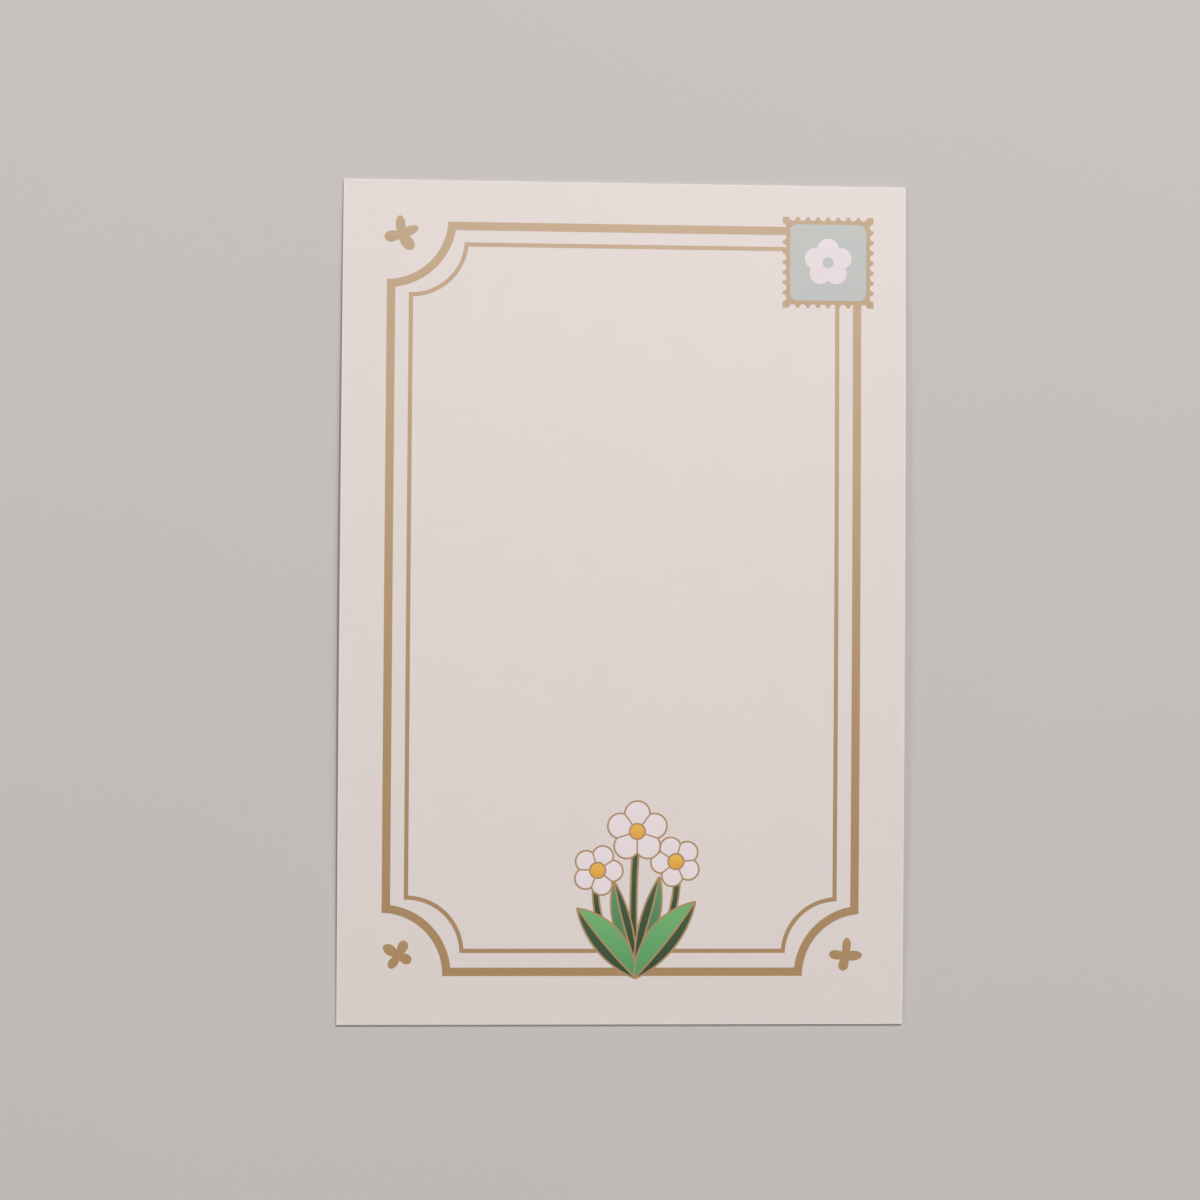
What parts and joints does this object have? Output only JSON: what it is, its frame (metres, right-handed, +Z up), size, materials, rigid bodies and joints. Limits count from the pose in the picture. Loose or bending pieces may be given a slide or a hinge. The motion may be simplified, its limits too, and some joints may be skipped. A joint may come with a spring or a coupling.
{
  "type": "postcard",
  "caption": "Flat upright postcard of pasted board with a gold scooped border, a printed stamp, corner florets and a small posy on the writing side, and a picture on the back.",
  "frame": {"origin": "middle of the card on the plane of its picture side, which it lies on", "axes": "+X to the right of the writing side, +Y towards the stamp end, +Z up out of the writing side"},
  "size_m": [0.102, 0.152, 0.0004],
  "materials": {
    "cream_paper": "uncoated, matt, faint tooth",
    "white_paper": "smooth, satin",
    "core_paper": "matt, fibrous on the cut edge",
    "gold_ink": "satin, fine grain",
    "teal_ink": "satin",
    "white_ink": "satin",
    "light_green_ink": "satin",
    "mid_green_ink": "satin",
    "dark_green_ink": "satin",
    "yellow_ink": "satin",
    "sky_ink": "gloss",
    "sun_ink": "gloss",
    "far_hill_ink": "gloss",
    "middle_hill_ink": "gloss",
    "near_hill_ink": "gloss"
  },
  "bodies": {
    "root": {"board_core": "core_paper", "writing_ply": "cream_paper", "picture_ply": "white_paper", "outer_rule": "gold_ink", "inner_rule": "gold_ink", "floret_top_left": "gold_ink", "floret_bottom_left": "gold_ink", "floret_bottom_right": "gold_ink", "stamp_border": "gold_ink", "stamp_panel": "teal_ink", "stamp_blossom": "white_ink", "posy_key_line": "gold_ink", "posy_stems": "dark_green_ink", "posy_light_leaves": "light_green_ink", "posy_mid_leaves": "mid_green_ink", "posy_dark_leaves": "dark_green_ink", "posy_petals": "white_ink", "posy_centres": "yellow_ink", "picture_rule": "gold_ink", "picture_sky": "sky_ink", "picture_sun": "sun_ink", "picture_far_hill": "far_hill_ink", "picture_middle_hill": "middle_hill_ink", "picture_near_hill": "near_hill_ink"}
  },
  "joints": []
}
